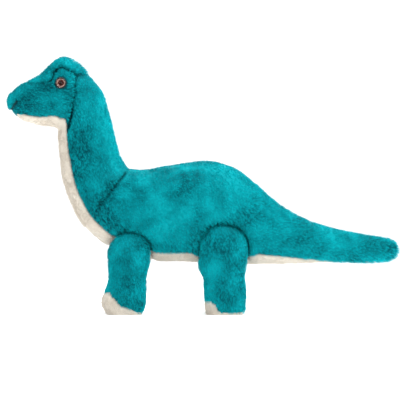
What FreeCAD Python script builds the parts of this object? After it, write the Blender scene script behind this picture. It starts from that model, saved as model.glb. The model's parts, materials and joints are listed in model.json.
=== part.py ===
"""Stuffed long-neck dinosaur: sewn plush covers over stuffing, on four sprung legs.

Frame: millimetres, +Z up, nose towards -X, tail towards +X.  The animal's left side is -Y.
The origin is the middle of the footprint of the whole toy, on the surface it stands on.
The trunk is a row of upright elliptical rings, each given by the point on the animal's
upper outline, the point on its lower outline, and half its width.
"""
import FreeCAD, Part
import os
from FreeCAD import Placement, Rotation, Vector

doc = FreeCAD.newDocument("StuffedDinosaur")
sheet = doc.addObject("Spreadsheet::Sheet", "Dims")

# name: (upper x, upper z, lower x, lower z, half width), from nose to tail tip
RINGS = {
    "nose_tip": (-214, 236, -214, 230, 3),
    "nose_end": (-209, 243.7, -209, 221.7, 10),
    "muzzle": (-195.8, 254.7, -195.8, 211.2, 17.5),
    "cheek": (-180.4, 262.4, -180.4, 206.8, 22),
    "brow": (-169.4, 272.3, -169.4, 205.7, 24.5),
    "eye_line": (-154, 282.2, -162.8, 204.6, 27),
    "crown": (-137.5, 276.1, -159, 201.9, 28),
    "nape": (-122.1, 260.2, -158.4, 197.5, 28),
    "head_base": (-108.9, 243.7, -157.9, 192, 27.5),
    "head_turn": (-103.4, 227.2, -157.3, 184.3, 26.5),
    "neck_high": (-99, 210.7, -156.8, 175.5, 26),
    "neck_middle": (-94.6, 190.9, -155.7, 165.6, 26.5),
    "neck_low": (-89.1, 172.2, -154.6, 153.5, 28),
    "neck_base": (-81.4, 161.7, -151.3, 140.3, 31),
    "neck_turn": (-70.4, 157.9, -145.8, 124.9, 35),
    "withers": (-57.2, 159, -134.2, 102.9, 39),
    "chest": (-44, 161.7, -116.6, 83.1, 43),
    "shoulder": (-30.8, 163.9, -90.2, 65.5, 46.5),
    "ribs": (-15.4, 166.7, -57.2, 57.8, 48.5),
    "back": (4.4, 168.9, -18.7, 57.2, 48.5),
    "loin": (22, 165.6, 14.3, 55, 46.5),
    "hip": (39.6, 157.9, 39.6, 54.5, 43),
    "rump": (57.2, 143.6, 60.5, 54.5, 38.5),
    "tail_root": (74.8, 127.1, 80.3, 54.5, 33),
    "tail_turn": (92.4, 115, 99, 55, 28),
    "tail_high": (118.8, 101.8, 124.3, 55.6, 22),
    "tail_middle": (145.2, 94, 149.6, 56.1, 18.5),
    "tail_low": (180.4, 87.5, 182.6, 55.6, 15.5),
    "tail_end": (202.4, 84.2, 202.4, 56.7, 12.5),
    "tail_tip": (213, 75, 213, 64.5, 4),
}
RING_WORDS = ("top_x", "top_z", "low_x", "low_z", "half_width")

# rings along each length of the trunk; neighbouring lengths share a ring
LENGTHS = {
    "head": ("nose_tip", "head_turn"),
    "neck": ("head_turn", "neck_turn"),
    "chest": ("neck_turn", "ribs"),
    "rump": ("ribs", "tail_turn"),
    "tail": ("tail_turn", "tail_tip"),
}

# leg sections from the sole up: (height, front x, rear x, half thickness)
LEG_RINGS = {
    "foreleg": ((0, -101, -66, 11), (2.5, -106, -63.5, 14.5), (9, -109.5, -62, 16.2),
                (18, -109.5, -61.5, 16.5), (29, -105.5, -61.5, 16), (42, -102, -60.8, 15.85),
                (54, -101.5, -58.8, 15.85)),
    "hindleg": ((0, 8, 42, 11), (2.5, 4, 46.5, 14.5), (9, 2.2, 48.2, 16.2),
                (18, 2, 48.4, 16.5), (29, 1.3, 47.6, 16), (42, 0.6, 47, 15.85),
                (56, -1.5, 48.5, 15.85)),
}
LEG_WORDS = ("level", "front_x", "rear_x", "half_thick")

SIZES = {
    "cover_thick": 3,           # backing cloth and flattened pile together
    "running_gap": 0.3,
    "head_ball": 38, "neck_ball": 45, "tail_ball": 38,
    "chin_seam": 0.13, "throat_seam": 0.145, "chest_seam": 0.105,
    "belly_seam": 0.065, "tail_seam": 0.07,
    "foreleg_pivot_x": -79.75, "foreleg_pivot_z": 66, "foreleg_top": 24.75,
    "hindleg_pivot_x": 23.5, "hindleg_pivot_z": 71.5, "hindleg_top": 27.5,
    "leg_middle_y": 40.2, "leg_half_thick": 15.85, "pocket_inner_y": 24, "pocket_gap": 0.9,
    "eye_x": -154, "eye_z": 252.5, "eye_seat_y": 24.6, "eye_radius": 6, "eye_back_thick": 1.4,
    "iris_radius": 4.9, "iris_thick": 0.5, "lens_rise": 2.3, "stem_radius": 1.5,
    "stem_reach": 11, "washer_radius": 6.5, "washer_thick": 1.2, "washer_y": 22,
    "mouth_thread": 0.7, "mouth_length": 12.4,
    "reach": 300,               # larger than the toy, for the solids that only divide it
}
SIDE_WORD = {-1: "left", 1: "right"}

row = 0


def cell(alias, value):
    """Write one driving dimension into the sheet."""
    global row
    row += 1
    sheet.set(f"A{row}", alias)
    sheet.set(f"B{row}", str(value))
    sheet.setAlias(f"B{row}", alias)


for ring_name, numbers in RINGS.items():
    for word, number in zip(RING_WORDS, numbers):
        cell(f"{ring_name}_{word}", number)
for leg_name, sections in LEG_RINGS.items():
    for index, numbers in enumerate(sections):
        for word, number in zip(LEG_WORDS, numbers):
            cell(f"{leg_name}_ring_{index}_{word}", number)
for size_name, number in SIZES.items():
    cell(size_name, number)
doc.recompute()


def add(kind, name, **bindings):
    """Add an object and bind its properties; a double underscore stands for a dot."""
    made = doc.addObject(kind, name)
    for path, expression in bindings.items():
        made.setExpression(path.replace("__", "."), expression)
    return made


def turn_about_y(made, expression):
    """Turn an object about +Y by an angle given as an expression."""
    for letter, value in (("x", "0"), ("y", "1"), ("z", "0")):
        made.setExpression(f"Placement.Rotation.Axis.{letter}", value)
    made.setExpression("Placement.Rotation.Angle", expression)


def join(name, *pieces):
    made = doc.addObject("Part::MultiFuse", name)
    made.Shapes = pieces
    made.Refine = False
    return made


def pair(kind, name, base, tool):
    made = doc.addObject(kind, name)
    made.Base = base
    made.Tool = tool
    made.Refine = False
    return made


def cut(name, base, tool):
    return pair("Part::Cut", name, base, tool)


def common(name, base, tool):
    return pair("Part::Common", name, base, tool)


def loft(name, sections):
    made = doc.addObject("Part::Loft", name)
    made.Sections = sections
    made.Solid = True
    made.MaxDegree = 3
    return made


# ---------------------------------------------------------------- trunk
def trunk_ring(ring_name, inset):
    """One upright ellipse of the trunk, drawn in by inset; it starts at its lower point."""
    at = f"Dims.{ring_name}"
    span_x = f"({at}_top_x - {at}_low_x)"
    span_z = f"({at}_top_z - {at}_low_z)"
    made = add("Part::Ellipse", f"{ring_name}_ring",
               MajorRadius=f"hypot({span_x}; {span_z}) / 2 - {inset}",
               MinorRadius=f"{at}_half_width - {inset}",
               Placement__Base__x=f"({at}_top_x + {at}_low_x) / 2",
               Placement__Base__z=f"({at}_top_z + {at}_low_z) / 2")
    turn_about_y(made, f"180 deg - atan2({span_z}; {span_x})")
    return made


def ring_names(length_name):
    """The rings of one length of the trunk, in order."""
    names = list(RINGS)
    first, last = LENGTHS[length_name]
    return names[names.index(first):names.index(last) + 1]


outer_rings = {name: trunk_ring(name, "0") for name in RINGS}
inner_rings = {name: trunk_ring(name, "Dims.cover_thick") for name in RINGS
               if name not in ("nose_tip", "tail_tip")}
skins, cores = {}, {}
for length_name in LENGTHS:
    members = ring_names(length_name)
    outer = loft(f"{length_name}_outer", [outer_rings[name] for name in members])
    cores[length_name] = loft(f"{length_name}_core",
                              [inner_rings[name] for name in members if name in inner_rings])
    skins[length_name] = cut(f"{length_name}_skin", outer, cores[length_name])


def ball(name, ring_name, radius):
    """A ball centred on a trunk ring, where two bodies of the toy bend."""
    at = f"Dims.{ring_name}"
    return add("Part::Sphere", name, Radius=radius,
               Placement__Base__x=f"({at}_top_x + {at}_low_x) / 2",
               Placement__Base__z=f"({at}_top_z + {at}_low_z) / 2")


def ball_and_cup(joint_name, ring_name):
    """The ball that one body keeps and the slightly larger one cut from its neighbour."""
    return (ball(f"{joint_name}_ball", ring_name, f"Dims.{joint_name}_ball"),
            ball(f"{joint_name}_cup", ring_name, f"Dims.{joint_name}_ball + Dims.running_gap"))


head_ball, head_cup = ball_and_cup("head", "head_turn")
neck_ball, neck_cup = ball_and_cup("neck", "neck_turn")
tail_ball, tail_cup = ball_and_cup("tail", "tail_turn")


def leg_pocket(leg_name, side):
    """The space in the torso's flank where one leg swings; side is -1 left, 1 right."""
    label = f"{leg_name}_pocket_{SIDE_WORD[side]}"
    radius = f"Dims.{leg_name}_top + Dims.pocket_gap"
    start = "Dims.pocket_inner_y" if side > 0 else "-Dims.pocket_inner_y - Dims.reach"
    round_top = add("Part::Cylinder", f"{label}_top", Radius=radius, Height="Dims.reach",
                    Placement__Base__x=f"Dims.{leg_name}_pivot_x",
                    Placement__Base__y=f"{start} + Dims.reach",
                    Placement__Base__z=f"Dims.{leg_name}_pivot_z")
    round_top.Placement.Rotation = Rotation(Vector(1, 0, 0), 90)
    slot = add("Part::Box", f"{label}_slot", Length=f"2 * ({radius})", Width="Dims.reach",
               Height=f"Dims.{leg_name}_pivot_z",
               Placement__Base__x=f"Dims.{leg_name}_pivot_x - ({radius})",
               Placement__Base__y=start)
    return join(label, round_top, slot)


pockets = [leg_pocket(leg_name, side) for leg_name in LEG_RINGS for side in (-1, 1)]


def trunk_bodies(lengths, tag):
    """Divide one layer of the trunk, skin or core, between its four bodies."""
    head = join(f"head_{tag}_whole", lengths["head"],
                common(f"head_{tag}_ball", lengths["neck"], head_ball))
    neck = join(f"neck_{tag}_whole", cut(f"neck_{tag}_cup", lengths["neck"], head_cup),
                common(f"neck_{tag}_ball", lengths["chest"], neck_ball))
    trunk = join(f"torso_{tag}_trunk", cut(f"chest_{tag}_cup", lengths["chest"], neck_cup),
                 cut(f"rump_{tag}_cup", lengths["rump"], tail_cup))
    torso = cut(f"torso_{tag}_whole", trunk, join(f"{tag}_pockets", *pockets))
    tail = join(f"tail_{tag}_whole", lengths["tail"],
                common(f"tail_{tag}_ball", lengths["rump"], tail_ball))
    return {"head": head, "neck": neck, "torso": torso, "tail": tail}


covers = trunk_bodies(skins, "cover")
fillings = trunk_bodies(cores, "filling")


# ---------------------------------------------------------------- seams
# everything to the left of the middle plane
left_half = add("Part::Box", "left_half", Length="2 * Dims.reach", Width="Dims.reach",
                Height="2 * Dims.reach", Placement__Base__x="-Dims.reach",
                Placement__Base__y="-Dims.reach", Placement__Base__z="-Dims.reach / 2")


def swept_outline(name, points, curve=()):
    """A side-view outline swept right through the toy along Y: an optional smooth curve,
    then straight lines through the points and back to the curve's start."""
    bend = [Vector(x, -sheet.reach / 2, z) for x, z in curve]
    corners = bend[-1:] + [Vector(x, -sheet.reach / 2, z) for x, z in points]
    lines = Part.makePolygon(corners + (bend or corners)[:1]).Edges
    if bend:
        smooth = Part.BSplineCurve()
        smooth.interpolate(bend)
        lines = [smooth.toShape()] + lines
    outline = doc.addObject("Part::Feature", f"{name}_outline")
    outline.Shape = Part.Face(Part.Wire(lines))
    made = add("Part::Extrusion", name, LengthFwd="Dims.reach")
    made.Base = outline
    made.DirMode = "Custom"
    made.Dir = Vector(0, 1, 0)
    made.Solid = True
    return made


def seam_share(ring_name):
    """How far up from the lower outline the pale strip's seam lies, as a share of the ring."""
    order = list(RINGS)
    index = order.index(ring_name)
    if index <= order.index("eye_line"):
        return sheet.chin_seam
    if index <= order.index("neck_turn"):
        return sheet.throat_seam
    if index <= order.index("chest"):
        return sheet.chest_seam
    return sheet.belly_seam if index <= order.index("rump") else sheet.tail_seam


def strip_seam():
    """The seam of the pale strip that runs from the chin to under the tail."""
    order = list(RINGS)
    outside = 5
    seam = [(sheet.nose_end_low_x, sheet.nose_end_low_z - 2 * outside)]
    for ring_name in order[order.index("muzzle"):order.index("tail_high") + 1]:
        top_x, top_z, low_x, low_z, _ = (sheet.get(f"{ring_name}_{word}") for word in RING_WORDS)
        share = seam_share(ring_name)
        seam.append((low_x + share * (top_x - low_x), low_z + share * (top_z - low_z)))
    return seam + [(sheet.tail_middle_low_x, sheet.tail_middle_low_z - outside)]


# below the strip's seam: under the tail and the belly, then in front of the throat
pale_strip = swept_outline("pale_strip", [(150, 20), (-60, 20), (-140, 60), (-185, 110),
                                          (-185, 185), (-215, 200)], strip_seam())
crown_patch = swept_outline("crown_patch", [
    (-193.6, 256.5), (-187, 251.9), (-171.6, 253.2), (-165.4, 256.4), (-163.5, 264.6),
    (-154, 271.6), (-146.3, 267.9), (-138.6, 262.4), (-127.6, 262.4), (-115, 290), (-195, 290)])
face_front = swept_outline("face_front", [
    (-140.5, 295), (-140.5, 242), (-141.5, 232), (-144.7, 212), (-146.5, 170), (-230, 170),
    (-230, 295)])

pieces = {}


def give(node_name, made):
    """Name a finished sub-part."""
    made.Label = node_name
    pieces[node_name] = made


def give_sides(stem, panel):
    """Give the left and right halves of a pair of side panels."""
    give(f"{stem}_left", common(f"{stem}_left_panel", panel, left_half))
    give(f"{stem}_right", cut(f"{stem}_right_panel", panel, left_half))


for body, strip_name, side_name in (("neck", "throat_gusset", "neck_side"),
                                    ("torso", "belly_gusset", "torso_side"),
                                    ("tail", "under_tail_gusset", "tail_side")):
    give(strip_name, common(f"{strip_name}_strip", covers[body], pale_strip))
    give_sides(side_name, cut(f"{side_name}s", covers[body], pale_strip))
    give(f"{body}_stuffing", fillings[body])


# ---------------------------------------------------------------- eyes
def eye_disc(name, side, radius, start, thick):
    """A disc or pin on the eye's axis; start is its inner face's distance from the middle."""
    near = start if side > 0 else f"-({start}) - ({thick})"
    made = add("Part::Cylinder", name, Radius=radius, Height=thick,
               Placement__Base__x="Dims.eye_x", Placement__Base__y=f"{near} + ({thick})",
               Placement__Base__z="Dims.eye_z")
    made.Placement.Rotation = Rotation(Vector(1, 0, 0), 90)
    return made


def eye(side):
    """One locking eye: backing with its stem, printed disc, clear lens and lock washer.
    Returns the plain solids that the covers and the stuffing leave room for."""
    word = SIDE_WORD[side]
    plate = eye_disc(f"eye_plate_{word}", side, "Dims.eye_radius", "Dims.eye_seat_y",
                     "Dims.eye_back_thick + Dims.iris_thick")
    recess = eye_disc(f"eye_recess_{word}", side, "Dims.iris_radius",
                      "Dims.eye_seat_y + Dims.eye_back_thick", "Dims.iris_thick")
    stem = eye_disc(f"eye_stem_{word}", side, "Dims.stem_radius",
                    "Dims.eye_seat_y - Dims.stem_reach", "Dims.stem_reach")
    give(f"eye_backing_{word}", join(f"eye_back_{word}",
                                     cut(f"eye_cup_{word}", plate, recess), stem))
    give(f"eye_iris_{word}", eye_disc(f"eye_print_{word}", side, "Dims.iris_radius",
                                      "Dims.eye_seat_y + Dims.eye_back_thick",
                                      "Dims.iris_thick"))
    face = "Dims.eye_seat_y + Dims.eye_back_thick + Dims.iris_thick"
    dome_radius = "(pow(Dims.eye_radius; 2) + pow(Dims.lens_rise; 2)) / (2 * Dims.lens_rise)"
    sign = "" if side > 0 else "-"
    dome = add("Part::Sphere", f"eye_dome_{word}", Radius=dome_radius,
               Placement__Base__x="Dims.eye_x",
               Placement__Base__y=f"{sign}({face} + Dims.lens_rise - {dome_radius})",
               Placement__Base__z="Dims.eye_z")
    slab = eye_disc(f"eye_slab_{word}", side, "Dims.eye_radius", face, "Dims.lens_rise")
    give(f"eye_lens_{word}", common(f"eye_lens_cap_{word}", dome, slab))
    ring = eye_disc(f"washer_blank_{word}", side, "Dims.washer_radius",
                    "Dims.washer_y - Dims.washer_thick", "Dims.washer_thick")
    give(f"eye_washer_{word}", cut(f"washer_ring_{word}", ring, stem))
    return [plate, slab, stem, ring]


eye_space = join("eye_space", *[solid for side in SIDE_WORD for solid in eye(side)])


# ---------------------------------------------------------------- head
def mouth_stitch(side):
    """A short thread laid along the side of the muzzle."""
    made = add("Part::Cylinder", f"mouth_thread_{SIDE_WORD[side]}",
               Radius="Dims.mouth_thread", Height="Dims.mouth_length")
    start = Vector(-209.1, 6.9 * side, 224.4)
    way = Vector(6.1, 6.7 * side, 8.5)
    made.Placement = Placement(start, Rotation(Vector(0, 0, 1), way))
    return made


threads = join("mouth_threads", *[mouth_stitch(side) for side in SIDE_WORD])
give("mouth_stitch", threads)
head_openings = join("head_openings", eye_space, threads)
give("crown_gusset", common("crown_gusset_top", covers["head"], crown_patch))
give("chin_gusset", common("chin_gusset_strip", covers["head"], pale_strip))


def below_crown(stem, cover):
    """What is left of a head cover between the crown gusset and the pale strip."""
    return cut(f"{stem}_above_strip", cut(f"{stem}_under_crown", cover, crown_patch), pale_strip)


face = below_crown("face", common("face_cover", covers["head"], face_front))
give_sides("head_side", cut("face_with_openings", face, head_openings))
give_sides("nape_side", below_crown("nape", cut("nape_cover", covers["head"], face_front)))
give("head_stuffing", cut("head_filling", fillings["head"], head_openings))


# ---------------------------------------------------------------- legs
def leg_form(leg_name, side, layer, inset):
    """A leg from sole to rounded top, drawn in by inset all round."""
    sections = []
    middle = f"{side} * Dims.leg_middle_y"
    for index in range(len(LEG_RINGS[leg_name])):
        at = f"Dims.{leg_name}_ring_{index}"
        sections.append(add("Part::Ellipse", f"{leg_name}_{layer}",
                            MajorRadius=f"({at}_rear_x - {at}_front_x) / 2 - {inset}",
                            MinorRadius=f"{at}_half_thick - {inset}",
                            Placement__Base__x=f"({at}_rear_x + {at}_front_x) / 2",
                            Placement__Base__y=middle,
                            Placement__Base__z=f"{at}_level" + (f" + {inset}" if index == 0
                                                                else "")))
    pivot = f"Dims.{leg_name}_pivot"
    top = f"(Dims.{leg_name}_top - {inset})"
    for lift in (0, 25, 48, 66, 79):
        sections.append(add("Part::Ellipse", f"{leg_name}_{layer}",
                            MajorRadius=f"{top} * cos({lift} deg)",
                            MinorRadius=f"(Dims.leg_half_thick - {inset}) * cos({lift} deg)",
                            Placement__Base__x=f"{pivot}_x", Placement__Base__y=middle,
                            Placement__Base__z=f"{pivot}_z + {top} * sin({lift} deg)"))
    return loft(f"{leg_name}_{layer}_{SIDE_WORD[side]}", sections)


SOLE_LINES = {
    "foreleg": [(-112, 24), (-103.7, 23.7), (-99.7, 23.3), (-94.4, 16), (-87.7, 10),
                (-77.7, 6.7), (-72, 3.2), (-55, 3.2), (-55, -2), (-112, -2)],
    "hindleg": [(-2, 12.8), (12.1, 13.5), (15.2, 10.5), (17.5, 3.2), (55, 3.2), (55, -2),
                (-2, -2)],
}
outer_half = {side: add("Part::Box", f"leg_outer_half_{word}", Length="2 * Dims.reach",
                        Width="Dims.reach", Height="Dims.reach",
                        Placement__Base__x="-Dims.reach",
                        Placement__Base__y="Dims.leg_middle_y" if side > 0
                        else "-Dims.leg_middle_y - Dims.reach",
                        Placement__Base__z="-10") for side, word in SIDE_WORD.items()}
for leg_name, line in SOLE_LINES.items():
    sole_region = swept_outline(f"{leg_name}_sole_region", line)
    for side, word in SIDE_WORD.items():
        stem = f"{leg_name}_{word}"
        blank = leg_form(leg_name, side, "outer", "0")
        filling = leg_form(leg_name, side, "filling", "Dims.cover_thick")
        skin = cut(f"{stem}_skin", blank, filling)
        give(f"{stem}_sole", common(f"{stem}_sole_piece", skin, sole_region))
        panels = cut(f"{stem}_panels", skin, sole_region)
        give(f"{stem}_outer_panel", common(f"{stem}_outer", panels, outer_half[side]))
        give(f"{stem}_inner_panel", cut(f"{stem}_inner", panels, outer_half[side]))
        give(f"{stem}_stuffing", filling)

# ---------------------------------------------------------------- write the sub-parts
doc.recompute()
failed = [made.Name for made in doc.Objects if {"Invalid", "Error"} & set(made.State)]
if failed:
    raise SystemExit(f"these objects failed: {failed}")
os.makedirs("parts", exist_ok=True)
for node_name, made in sorted(pieces.items()):
    if made.Shape.isNull() or not made.Shape.isValid():
        raise SystemExit(f"{node_name} has no valid shape")
    made.Shape.exportStep(f"parts/{node_name}.step")
    print(f"{node_name:26s} {made.Shape.Volume / 1000:8.2f} cm3  {len(made.Shape.Solids)} solid")
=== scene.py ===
"""Looks of the stuffed long-neck dinosaur: sewn plush covers with a brushed pile over stuffing.

Everything is in metres in the CAD's frame: +Z up, nose towards -X, left side towards -Y.
The covers are drawn over the same upright elliptical rings that the CAD covers are lofted
on, set in by the height of the pile, and then shaped as sewn and stuffed cloth is.
"""
import json
import math

import bpy
import numpy as np
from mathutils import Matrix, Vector, noise


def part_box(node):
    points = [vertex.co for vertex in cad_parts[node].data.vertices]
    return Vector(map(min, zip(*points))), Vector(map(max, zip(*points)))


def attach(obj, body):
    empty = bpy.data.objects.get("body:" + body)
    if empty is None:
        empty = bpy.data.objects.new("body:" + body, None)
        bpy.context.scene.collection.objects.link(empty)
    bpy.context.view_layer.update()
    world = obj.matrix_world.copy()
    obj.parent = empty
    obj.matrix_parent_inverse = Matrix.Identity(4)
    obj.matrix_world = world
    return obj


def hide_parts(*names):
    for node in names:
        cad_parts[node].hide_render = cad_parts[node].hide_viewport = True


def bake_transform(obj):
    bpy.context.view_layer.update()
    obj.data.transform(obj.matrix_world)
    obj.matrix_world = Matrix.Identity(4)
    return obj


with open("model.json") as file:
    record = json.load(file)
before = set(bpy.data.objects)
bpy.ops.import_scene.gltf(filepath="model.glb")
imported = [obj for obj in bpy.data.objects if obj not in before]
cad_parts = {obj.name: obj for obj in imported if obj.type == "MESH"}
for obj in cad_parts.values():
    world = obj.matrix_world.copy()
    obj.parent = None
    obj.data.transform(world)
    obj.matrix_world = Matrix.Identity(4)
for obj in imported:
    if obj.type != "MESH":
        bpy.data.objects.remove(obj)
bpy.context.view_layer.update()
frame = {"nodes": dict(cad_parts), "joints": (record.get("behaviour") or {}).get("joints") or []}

MM = 0.001
SIDES = {"left": -1, "right": 1}
PILE = 1.3 * MM             # how far the brushed pile stands off its backing
GRID = 1.6 * MM             # spacing of the covers' mesh
CLOTH = 1.5 * MM            # backing cloth
STUFFING_INSET = 6.5 * MM   # from the backing's face to the fibre fill
HAIRS_PER_M2 = 420000
PILE_LENGTH = 2.9 * MM      # of a strand, which lies along the nap
HAIR_FACTOR_LENGTH = 4      # Blender draws a strand four times as long as its factors

# the trunk's rings, mm: upper x and z, lower x and z, half width, from nose to tail
RINGS = np.array([
    (-209, 243.7, -209, 221.7, 10.5), (-203.5, 249.5, -203.5, 216.3, 14.5),
    (-195.8, 254.7, -195.8, 211.2, 18), (-180.4, 262.4, -180.4, 206.8, 22),
    (-169.4, 272.3, -169.4, 205.7, 24.5), (-154, 282.2, -162.8, 204.6, 27),
    (-137.5, 276.1, -159, 201.9, 28), (-122.1, 260.2, -158.4, 197.5, 28),
    (-108.9, 243.7, -157.9, 192, 27.5), (-103.4, 227.2, -157.3, 184.3, 26.5),
    (-99, 210.7, -156.8, 175.5, 26), (-94.6, 190.9, -155.7, 165.6, 26.5),
    (-89.1, 172.2, -154.6, 153.5, 28), (-81.4, 161.7, -151.3, 140.3, 31),
    (-70.4, 157.9, -145.8, 124.9, 35), (-57.2, 159, -134.2, 102.9, 39),
    (-44, 161.7, -116.6, 83.1, 43), (-30.8, 163.9, -90.2, 65.5, 46.5),
    (-15.4, 166.7, -57.2, 57.8, 48.5), (4.4, 168.9, -18.7, 57.2, 48.5),
    (22, 165.6, 14.3, 55, 46.5), (39.6, 157.9, 39.6, 54.5, 43),
    (57.2, 143.6, 60.5, 54.5, 38.5), (74.8, 127.1, 80.3, 54.5, 33),
    (92.4, 115, 99, 55, 28), (118.8, 101.8, 124.3, 55.6, 22),
    (145.2, 94, 149.6, 56.1, 18.5), (180.4, 87.5, 182.6, 55.6, 15.5),
    (202.4, 84.2, 202.4, 56.7, 12.5)]) * MM
# rings at which one part of the trunk gives way to the next
NAPE_RING, HEAD_RING, THROAT_RING, NECK_RING, RUMP_RING, TAIL_RING = 7, 9, 10, 14, 22, 24
# share of each ring's height at which the pale strip's seam lies, by ring number
STRIP_SHARE = ((0, 0.0), (1, 0.06), (2, 0.14), (6, 0.145), (7, 0.235), (8, 0.18), (9, 0.165),
               (10.5, 0.155), (12, 0.175), (13, 0.16), (15, 0.13), (16, 0.12), (17, 0.1),
               (18, 0.08), (19.15, 0.08), (19.4, 0.03), (21.3, 0.03), (22, 0.11), (23, 0.11),
               (24, 0.09), (25, 0.04), (25.8, 0.0), (28, 0.0))
STRIP_FROM, STRIP_TO = 0.9, 25.8
GUSSET, SIDE = 12, 84       # columns of the grid on the strip, and from its seam to the back
NOSE_CAP, TAIL_CAP = 5.6 * MM, 12 * MM
CHEEK_FROM, FLANK_FROM = 12 * MM, 20 * MM   # from the middle plane
LEG_SEAM_FROM = 58 * MM     # height above which a leg is sewn to the flank
FAR_AWAY = 1.0              # where no bump reaches

# side-view seam lines, mm
CROWN_SEAM = np.array([(-196, 255.6), (-187, 251.9), (-171.6, 253.2), (-166.5, 255),
                       (-164.6, 259), (-163.3, 264.8), (-159, 269.6), (-154, 271.6),
                       (-146.3, 268.2), (-138.6, 262.6), (-126, 262.4)]) * MM
FACE_SEAM = np.array([(-137, 263), (-138.4, 255), (-138.9, 242), (-140.7, 232),
                      (-142.8, 220), (-145.5, 208), (-149, 196)]) * MM
DART = np.array([(-80.5, 159), (-96, 139), (-113.4, 116.6), (-129.5, 96)]) * MM
MOUTH = np.array([(-211.5, 221.5), (-209.1, 224.4), (-206.4, 228.8), (-203, 232.9)]) * MM

# where the pile is painted lighter or darker, mostly painted light on top (crown, nape, withers,
# back) and painted shade below and in front (chest, neck front, lower muzzle, by the legs and
# dart), with some nap blotches: x, z, half width, half height, tone
TONE_AND_LIGHT_PATCHES = {
    "trunk": np.array([
        (-100, 141, 9, 13, -0.8), (-107, 108, 15, 14, -1.4), (-94, 93, 14, 8, -0.8),
        (-27, 129, 14, 10, -0.7), (-15, 150, 17, 8, -0.6), (-5, 104, 7, 18, -0.7),
        (-8, 78, 6, 12, -0.7), (45, 106, 9, 18, -0.5), (56, 108, 14, 10, -0.5),
        (114, 84, 12, 8, -0.5), (202, 70, 12, 9, -0.5), (165, 66, 14, 6, -0.4),
        (-67, 151, 12, 8, 0.5), (19, 159, 25, 10, 0.7), (-32, 106, 30, 20, 0.9),
        (132, 90, 24, 7, 0.8), (34, 138, 16, 14, 0.8), (160, 80, 18, 7, 0.7),
        (78, 112, 14, 8, 0.7), (15, 125, 16, 14, 0.4),
        (-195, 229, 16, 10, -1.2), (-172, 246, 14, 7, -0.5), (-165, 228, 20, 14, -0.5),
        (-153, 278, 20, 8, 1.3), (-182, 259, 14, 5, 0.7), (-134, 262, 8, 5, -0.7),
        (-138, 178, 15, 44, -1.4), (-146, 226, 5, 20, -0.5), (-105, 217, 9, 25, 1.2),
        (-94, 177, 9, 24, 1.3), (-158, 231, 10, 10, 0.2)]),
    "foreleg": np.array([
        (-100, 40, 5, 15, 0.8), (-78, 28, 12, 9, -0.6), (-66, 13, 8, 10, -0.6),
        (-65, 78, 8, 10, -0.5), (-84, 60, 12, 12, 0.1)]),
    "hindleg": np.array([
        (7, 78, 12, 12, -0.5), (22, 17, 12, 8, -0.6), (43, 36, 6, 20, -0.5),
        (8, 48, 8, 11, 0.3), (24, 76, 20, 14, -0.5)]),
}

# the way the pile is brushed on each part of the toy
NAPS = {"head": (0.8, 0, -0.3), "neck": (0.35, 0, -0.9), "torso": (0.7, 0, -0.7),
        "tail": (0.95, 0, -0.3), "chin": (1, 0, -0.1), "throat": (0.2, 0, -1),
        "belly": (1, 0, 0), "under": (1, 0, 0), "crown": (1, 0, -0.1),
        "foreleg": (0.1, 0, -1), "hindleg": (0.1, 0, -1)}
# the pieces that cross a bend: the two bodies, and where the bend starts and ends, mm
BLENDS = {"torso": ("torso", "neck", (-81, 0, 111), (-101, 0, 127)),
          "belly": ("torso", "neck", (-81, 0, 111), (-101, 0, 127)),
          "neck": ("neck", "head", (-108, 0, 165), (-128, 0, 200)),
          "throat": ("neck", "head", (-108, 0, 165), (-128, 0, 200)),
          "tail": ("torso", "tail", (66, 0, 90), (116, 0, 88)),
          "under": ("torso", "tail", (66, 0, 90), (116, 0, 88))}


# ------------------------------------------------------------------ small maths
def catmull(values, at):
    """Smooth values through numbered rows at fractional row numbers."""
    values = np.asarray(values, float)
    last = len(values) - 1
    i = np.clip(np.floor(at).astype(int), 0, last - 1)
    t = (at - i)[:, None]
    p0, p1 = values[np.maximum(i - 1, 0)], values[i]
    p2, p3 = values[i + 1], values[np.minimum(i + 2, last)]
    return 0.5 * (2 * p1 + (p2 - p0) * t + (2 * p0 - 5 * p1 + 4 * p2 - p3) * t ** 2
                  + (3 * p1 - p0 - 3 * p2 + p3) * t ** 3)


def unit(vectors):
    """The same directions, each one long."""
    return vectors / np.maximum(np.linalg.norm(vectors, axis=-1, keepdims=True), 1e-12)


def smoothstep(low, high, x):
    """A smooth rise from 0 at low to 1 at high; it falls instead where low is the larger."""
    t = np.clip((x - low) / (high - low), 0, 1)
    return t * t * (3 - 2 * t)


def lumps(points, size, seed):
    """Smooth noise of about -1 to 1 at each point, with features of that size."""
    shift = Vector((seed * 17.3, seed * 5.1, seed * 9.7))
    flat = points.reshape(-1, 3) / size
    found = [noise.noise(Vector(p) + shift) for p in flat]
    return np.array(found).reshape(points.shape[:-1])


def line_distance(points, line):
    """Side-view distance from each point to a line of straight runs, its sign and the
    nearest place on it. The sign is positive on the left of the way the line goes."""
    x, z = points[..., 0], points[..., 2]
    best = np.full(x.shape, 1e9)
    sign = np.ones(x.shape)
    foot = np.zeros(x.shape + (2,))
    for (ax, az), (bx, bz) in zip(line[:-1], line[1:]):
        dx, dz = bx - ax, bz - az
        t = np.clip(((x - ax) * dx + (z - az) * dz) / (dx * dx + dz * dz), 0, 1)
        fx, fz = ax + t * dx, az + t * dz
        far = np.hypot(x - fx, z - fz)
        side = dx * (z - az) - dz * (x - ax)
        nearer = far < best
        best = np.where(nearer, far, best)
        sign = np.where(nearer, np.sign(side), sign)
        foot[nearer] = np.stack([fx, fz], -1)[nearer]
    return best, sign, foot


def snap_to(points, line, reach):
    """Move grid points that lie close to a seam onto it, so that panels meet on the seam."""
    far, _, foot = line_distance(points, line)
    near = far < reach
    points[..., 0] = np.where(near, foot[..., 0], points[..., 0])
    points[..., 2] = np.where(near, foot[..., 1], points[..., 2])


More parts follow.
